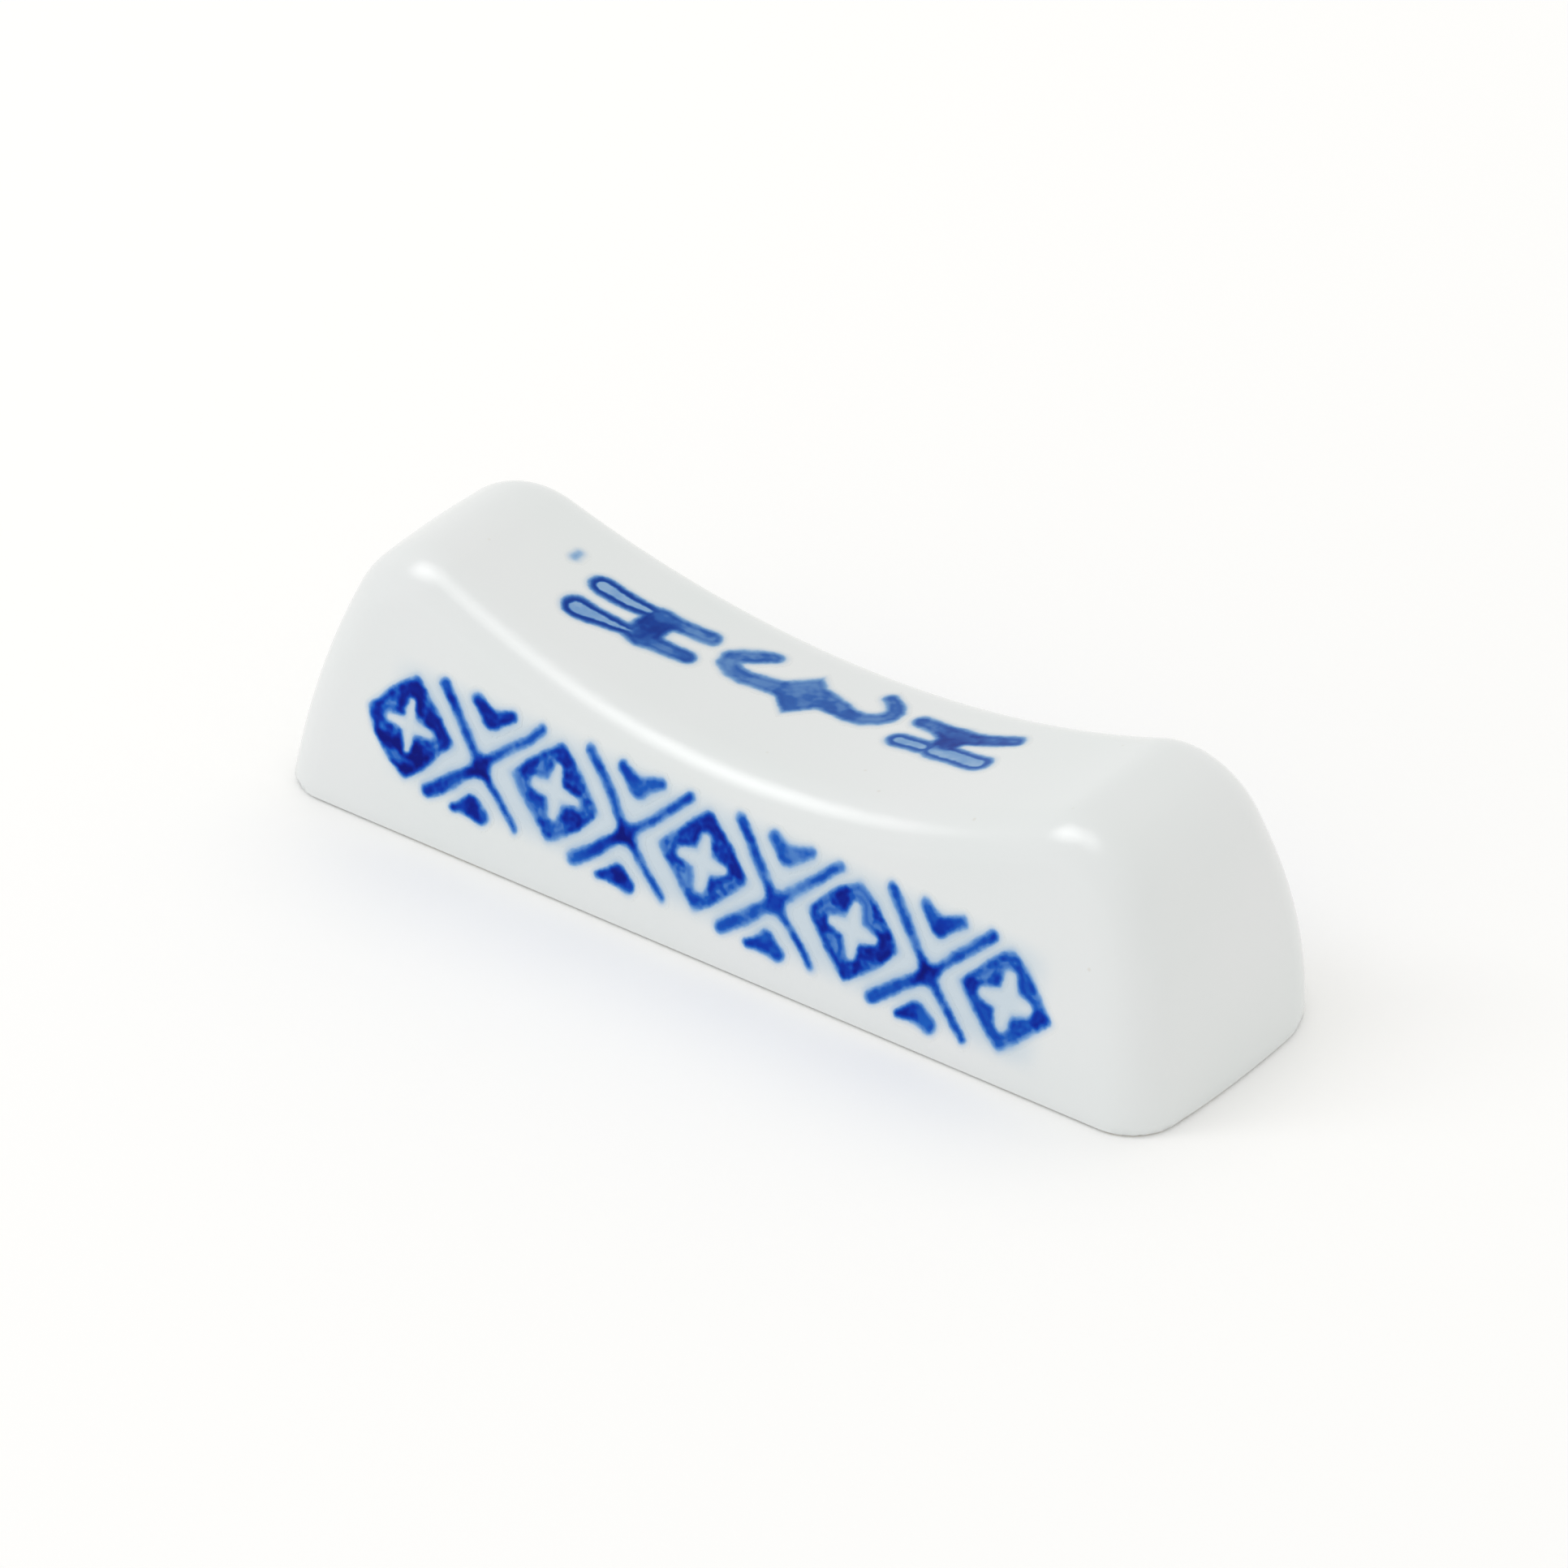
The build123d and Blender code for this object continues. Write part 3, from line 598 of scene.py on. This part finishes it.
# Cobalt print: the crosses. Between each lozenge and the next, four strokes meet in a thick heart.
# They are part of the same transfer; the lower left stroke is the heaviest and the lower right the thinnest.
cross_middle = (0.0, -0.48, 0.0)
cross_arms = [(-3.4, 4.1), (3.9, 4.0), (-3.55, -3.0), (3.05, -2.95)]
cross_widths = [(0.5, 0.66), (0.5, 0.52), (0.65, 0.78), (0.45, 0.36)]
cross_web = 0.9
cross_pool = 2.4
cross_pool_run = (0.4, 1.5)   # full up to the first distance from the middle, gone at the second
stroke_cobalt = cobalt_ink("brushed_cobalt_under_glaze", deep_shades, thickest=1.2, thinnest=0.65)


def draw_cross(tree, point, tone):
    """Four tapering strokes that swell where they meet, where the ink pools."""
    point = add_node(tree, "ShaderNodeVectorMath", {0: point, 1: cross_middle}, operation="SUBTRACT")
    strokes = [((0.0, 0.0), arm, *widths) for arm, widths in zip(cross_arms, cross_widths)]
    out = add_node(tree, "ShaderNodeVectorMath", {0: point}, operation="LENGTH")
    pool_links = {"Value": out, "From Min": cross_pool_run[0], "From Max": cross_pool_run[1]}
    pool_links.update({"To Min": cross_pool, "To Max": 0.0})
    pool = add_node(tree, "ShaderNodeMapRange", pool_links)
    wash = add_node(tree, "ShaderNodeMath", {0: tone, 1: pool}, operation="ADD")
    return brushed(tree, point, strokes, cross_web), wash, 0.0


cross_sizes = {"Count": 4, "Wide": 10.0, "High": 10.4, "Lift": 0.009}
cross_tree = print_tree("cross_row", draw_cross, lay_on_front, cross_sizes)
for face, turn, seed in (("front", 0.0, 7.0), ("back", math.pi, 53.0)):
    name = face + "_cross_print"
    row = made_piece(name, cross_tree, print_depth * millimetre, turn=turn, seed=seed, ink=stroke_cobalt)
    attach(row, "root")
    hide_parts(face + "_crosses")

# Cobalt print: the hearts. A small filler of two short strokes sits above and below each cross,
# a spread V above and a pointed roof below, in the same transfer. The ink pooled in the lower ones.
upper_heart = [((-0.95, 4.0), (0.2, 3.15), 0.7, 1.1), ((0.2, 3.15), (1.75, 3.95), 1.1, 0.6)]
lower_heart = [((-1.55, -3.25), (-0.3, -2.7), 0.4, 1.1), ((-0.3, -2.7), (0.6, -3.1), 1.1, 0.95)]
heart_web = 0.5
heart_pools = {"upper": 0.0, "lower": 0.9}


def draw_heart(strokes, pool):
    """The strokes of one heart as a drawing."""
    def draw(tree, point, tone):
        point = add_node(tree, "ShaderNodeVectorMath", {0: point, 1: cross_middle}, operation="SUBTRACT")
        wash = add_node(tree, "ShaderNodeMath", {0: tone, 1: pool}, operation="ADD")
        return brushed(tree, point, strokes, heart_web), wash, 0.0
    return draw


heart_sizes = {"Count": 4, "Wide": 6.0, "High": 11.0, "Lift": 0.012}
for level, strokes in (("upper", upper_heart), ("lower", lower_heart)):
    drawing = draw_heart(strokes, heart_pools[level])
    heart_tree = print_tree(level + "_heart_row", drawing, lay_on_front, heart_sizes)
    for face, turn, seed in (("front", 0.0, 11.0), ("back", math.pi, 67.0)):
        name = f"{face}_{level}_heart_print"
        row = made_piece(name, heart_tree, print_depth * millimetre, turn=turn, seed=seed, ink=stroke_cobalt)
        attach(row, "root")
        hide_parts(f"{face}_{level}_hearts")

# Cobalt ornament on the saddle: the bows. At each end two bars are joined by a waist. They were outlined
# with a fine brush and filled with a thin wash, so the bars are pale inside and the waist is solid blue.
ornament_place = (-1.1, 1.6)
ornament_tilt = math.radians(3.1)
bow_sizes = {"Wide": 38.0, "High": 8.0, "Wobble": 0.2, "Wet": 0.0, "Thin": 1.3, "Thick": 1.9}
left_outlined = [((-14.5, 0.5), (-11.5, 0.75), 1.7, 1.2), ((-14.6, -2.15), (-11.2, -1.55), 1.85, 0.95)]
left_solid = [((-10.6, 0.6), (-10.6, -1.4), 2.0, 2.0)]
left_solid += [((-10.5, 0.9), (-7.45, 1.3), 1.3, 1.25), ((-10.5, -1.5), (-7.6, -1.2), 1.3, 1.3)]
right_outlined = [((7.6, -1.35), (9.4, -1.55), 1.45, 1.4), ((10.4, -1.65), (13.6, -2.25), 1.7, 1.75)]
right_solid = [((7.7, 1.05), (10.5, 0.35), 1.1, 1.4), ((10.5, 0.1), (14.4, 0.75), 1.4, 1.05)]
right_solid += [((10.7, 0.2), (10.5, -1.2), 1.9, 1.7)]
left_waist = (-10.6, -0.4)
right_waist = (10.8, -0.4)
fleck = [((-17.15, 1.25), (-17.15, 1.8), 0.4, 0.3)]     # a drop of ink fell beside the left bow
fleck_edge = -16.0
bar_web = 0.2
solid_web = 0.6
bar_join = 0.3
bar_wash = 0.52
bar_change = (-0.5, 0.4)      # pale wash turns into solid ink over this step between two bars
solid_line = 0.3
waist_pool_run = (0.4, 2.0)   # full up to the first distance from the waist, gone at the second
grey_shades = {
    0.0: "#ffffff", 0.1: "#b1ceee", 0.2: "#7aa8df", 0.4: "#356dc2",
    0.6: "#1246a8", 0.8: "#04298d", 1.0: "#011574",
}
grey_cobalt = cobalt_ink("grey_cobalt_under_glaze", grey_shades, thickest=1.2, thinnest=0.75)


def lay_on_saddle(tree, sheet):
    """Lays a flat sheet along the saddle, following its sweep."""
    place = (*ornament_place, form_sizes["Saddle height"])
    lay_links = {"Geometry": sheet, "Translation": place, "Rotation": (0.0, 0.0, ornament_tilt)}
    sheet = add_node(tree, "GeometryNodeTransform", lay_links)
    here = add_node(tree, "GeometryNodeInputPosition")
    run = add_node(tree, "ShaderNodeSeparateXYZ", {0: here}).node.outputs["X"]
    rise = add_node(tree, "ShaderNodeMath", {0: run, 1: run}, operation="MULTIPLY")
    sweep = 2 * form_sizes["Saddle radius"]
    rise = add_node(tree, "ShaderNodeMath", {0: rise, 1: sweep}, operation="DIVIDE")
    rise = add_node(tree, "ShaderNodeCombineXYZ", {"Z": rise})
    return add_node(tree, "GeometryNodeSetPosition", {"Geometry": sheet, "Offset": rise})


def draw_bow(outlined, solid, outline, waist, pooled):
    """Outlined bars with a pale wash inside and solid ones, darkest at the waist, as a drawing."""
    def draw(tree, point, tone):
        pale = brushed(tree, point, outlined, bar_web)
        full = brushed(tree, point, solid, solid_web)
        nearer = add_node(tree, "ShaderNodeMath", {0: pale, 1: full}, operation="SUBTRACT")
        filled_links = {"Value": nearer, "From Min": bar_change[0], "From Max": bar_change[1]}
        filled = add_node(tree, "ShaderNodeMapRange", filled_links)
        out = add_node(tree, "ShaderNodeVectorMath", {0: point, 1: (*waist, 0.0)}, operation="DISTANCE")
        pool_links = {"Value": out, "From Min": waist_pool_run[0], "From Max": waist_pool_run[1]}
        pool_links.update({"To Min": pooled, "To Max": 0.0})
        pool = add_node(tree, "ShaderNodeMapRange", pool_links)
        dense = add_node(tree, "ShaderNodeMath", {0: tone, 1: pool}, operation="ADD")
        wash = add_node(tree, "ShaderNodeMix", {"Factor": filled, "A": bar_wash, "B": dense})
        line = add_node(tree, "ShaderNodeMix", {"Factor": filled, "A": outline, "B": solid_line})
        run = add_node(tree, "ShaderNodeSeparateXYZ", {0: point}).node.outputs["X"]
        drawn = add_node(tree, "ShaderNodeMath", {0: run, 1: fleck_edge}, operation="GREATER_THAN")
        line = add_node(tree, "ShaderNodeMath", {0: line, 1: drawn}, operation="MULTIPLY")
        ink = add_node(tree, "ShaderNodeMath", {0: pale, 1: full, 2: bar_join}, operation="SMOOTH_MIN")
        return ink, wash, line
    return draw


left_drawing = draw_bow(left_outlined + fleck, left_solid, outline=2.4, waist=left_waist, pooled=1.0)
right_drawing = draw_bow(right_outlined, right_solid, outline=1.5, waist=right_waist, pooled=2.2)
for side, drawing in (("left", left_drawing), ("right", right_drawing)):
    bow_tree = print_tree(side + "_bow", drawing, lay_on_saddle, bow_sizes)
    name = f"saddle_{side}_bow_print"
    bow = made_piece(name, bow_tree, print_depth * millimetre, seed=5.0, ink=grey_cobalt)
    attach(bow, "root")
    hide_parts(f"saddle_{side}_bow")

# Cobalt ornament on the saddle: the scroll. A solid diamond in the middle with a hook curling up on
# either side, brushed in one thin coat of cobalt. Each hook is a row of points with the brush's width.
scroll_sizes = {"Wide": 15.0, "High": 8.0, "Wobble": 0.2}
scroll_sizes.update({"Wet": 0.0, "Thin": 1.2, "Thick": 1.7, "Lift": 0.009})
diamond_half = (2.2, 2.15)
left_hook = [(-1.0, -0.1, 1.7), (-2.4, -0.35, 1.3), (-3.6, -0.6, 1.2), (-4.6, -0.5, 1.2), (-5.3, 0.0, 1.25)]
left_hook += [(-5.45, 0.6, 1.3), (-5.0, 1.15, 1.25), (-4.2, 1.7, 1.15), (-3.4, 2.2, 1.0)]
right_hook = [(1.0, 0.3, 2.0), (2.5, 0.0, 1.5), (3.5, -0.35, 1.2), (4.4, -0.35, 1.1), (5.15, 0.05, 1.15)]
right_hook += [(5.6, 0.65, 1.15), (5.65, 1.25, 1.1), (5.3, 1.8, 1.05), (4.6, 2.35, 0.9)]
hook_web = 0.1
hook_join = 0.2
scroll_line = 0.2


def draw_scroll(tree, point, tone):
    """A diamond with two hooks, each brushed in short turns."""
    folded = add_node(tree, "ShaderNodeVectorMath", {0: point}, operation="ABSOLUTE")
    steep = math.hypot(*diamond_half)
    lean = (diamond_half[1] / steep, diamond_half[0] / steep, 0.0)
    diamond = add_node(tree, "ShaderNodeVectorMath", {0: folded, 1: lean}, operation="DOT_PRODUCT")
    inset = diamond_half[0] * diamond_half[1] / steep
    diamond = add_node(tree, "ShaderNodeMath", {0: diamond, 1: inset}, operation="SUBTRACT")
    turns = [(a[:2], b[:2], a[2], b[2]) for hook in (left_hook, right_hook) for a, b in zip(hook, hook[1:])]
    hooks = brushed(tree, point, turns, hook_web)
    ink = add_node(tree, "ShaderNodeMath", {0: diamond, 1: hooks, 2: hook_join}, operation="SMOOTH_MIN")
    return ink, tone, scroll_line


scroll_tree = print_tree("scroll", draw_scroll, lay_on_saddle, scroll_sizes)
scroll = made_piece("saddle_scroll_print", scroll_tree, print_depth * millimetre, seed=9.0, ink=grey_cobalt)
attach(scroll, "root")
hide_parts("saddle_scroll")

# White paper sweep that the rest stands on, a plain matt sheet laid flat. It is white for the eye and in
# the glaze, a little greyer where it only passes light on, and it keeps the soft shadow.
paper_seen = linear("#fffffe")
paper_lit = linear("#efefee")
paper_half = 1.5


def seen_rays(tree):
    """One where the eye looks, also by a reflection or through glass, and nought for light passed on."""
    ray = add_node(tree, "ShaderNodeLightPath").node.outputs
    seen = ray["Is Camera Ray"]
    for kind in ("Is Glossy Ray", "Is Transmission Ray"):
        seen = add_node(tree, "ShaderNodeMath", {0: seen, 1: ray[kind]}, operation="MAXIMUM")
    return seen


paper = bpy.data.materials.new("white_paper")
shade = blank_nodes(paper)
tone_links = {"Factor": seen_rays(shade), "A": paper_lit, "B": paper_seen}
tone = add_node(shade, "ShaderNodeMix", tone_links, data_type="RGBA")
sheet = add_node(shade, "ShaderNodeBsdfDiffuse", {"Color": tone})
add_node(shade, "ShaderNodeOutputMaterial", {"Surface": sheet})
quarters = ((-1, -1), (1, -1), (1, 1), (-1, 1))
corners = [(right * paper_half, back * paper_half, 0.0) for right, back in quarters]
floor_mesh = bpy.data.meshes.new("paper_sweep")
floor_mesh.from_pydata(corners, [], [(0, 1, 2, 3)])
floor_mesh.materials.append(paper)
floor = bpy.data.objects.new("paper_sweep", floor_mesh)
bpy.context.scene.collection.objects.link(floor)

# Studio light: a white tent all round and soft lamps in it. Two soft-edged spots, on the left and overhead,
# show only in the glaze, as the long highlight on the rim. The boards and the backdrop only fill the clay
# with light, and do not show in the glaze.
tent_fill = 0.8
tent_white = 1.0
world = bpy.data.worlds.new("white_tent")
bpy.context.scene.world = world
shade = blank_nodes(world)
level_links = {"Value": seen_rays(shade), "To Min": tent_fill, "To Max": tent_white}
level = add_node(shade, "ShaderNodeMapRange", level_links)
tent = add_node(shade, "ShaderNodeBackground", {"Color": linear("#ffffff"), "Strength": level})
add_node(shade, "ShaderNodeOutputWorld", {"Surface": tent})

# Each lamp: its place, and its width and height, in metres, then watts, spread in degrees, tint and what
# it lights.
lamps = {
    "left_spot": ((-0.39, -0.27, 0.58), (0.56, 0.56), 0.25, 40, "#ffffff", "glaze"),
    "overhead_spot": ((-0.11, -0.26, 0.69), (0.56, 0.56), 0.13, 40, "#ffffff", "glaze"),
    "left_board": ((-0.39, -0.27, 0.58), (0.2, 0.5), 0.8, 180, "#ffffff", "clay"),
    "lit_backdrop": ((-0.2, 1.0, 0.12), (2.0, 0.4), 0.66, 180, "#ffffff", "clay"),
    "back_board": ((-0.1, 0.5, 0.75), (0.8, 0.4), 0.85, 180, "#fff8ea", "clay"),
    "right_board": ((0.9, 0.05, 0.07), (1.4, 0.14), 0.92, 180, "#fffaf2", "clay"),
    "front_board": ((-0.3, -0.85, 0.08), (1.4, 0.16), 1.42, 180, "#ffffff", "clay"),
}
for name, (place, (wide, high), watts, spread, tint, lights) in lamps.items():
    lamp = bpy.data.lights.new(name, "AREA")
    lamp.shape = "RECTANGLE"
    lamp.size = wide
    lamp.size_y = high
    lamp.energy = watts
    lamp.color = linear(tint)[:3]
    lamp.spread = math.radians(spread)
    stand = bpy.data.objects.new(name, lamp)
    stand.location = place
    stand.visible_glossy = lights == "glaze"
    stand.visible_diffuse = lights == "clay"
    stand.rotation_euler = (-Vector(place)).to_track_quat("-Z", "Y").to_euler()
    bpy.context.scene.collection.objects.link(stand)

# Camera: a long lens, looking down on the front and the right end.
lens_length = 251.6
film_width = 36.0
view_azimuth = math.radians(36.843)
view_rise = math.radians(33.087)
view_roll = math.radians(0.121)
view_distance = 0.6454
view_shift = -1.03 * millimetre
view_level = 7.255 * millimetre
level_run = math.cos(view_rise)
level_right = math.sin(view_azimuth) * level_run
level_back = -math.cos(view_azimuth) * level_run
toward = Vector((level_right, level_back, math.sin(view_rise)))
flat_right = Vector((math.cos(view_azimuth), math.sin(view_azimuth), 0.0))
flat_up = toward.cross(flat_right)
right = math.cos(view_roll) * flat_right + math.sin(view_roll) * flat_up
up = math.cos(view_roll) * flat_up - math.sin(view_roll) * flat_right
camera_data = bpy.data.cameras.new("camera")
camera_data.sensor_width = film_width
camera_data.lens = lens_length
camera_data.clip_start = 0.01
camera = bpy.data.objects.new("camera", camera_data)
camera.matrix_world = Matrix((right, up, toward)).transposed().to_4x4()
camera.location = right * view_shift + Vector((0.0, 0.0, view_level)) + toward * view_distance
bpy.context.scene.collection.objects.link(camera)
bpy.context.scene.camera = camera

bpy.context.scene.view_settings.view_transform = "Standard"
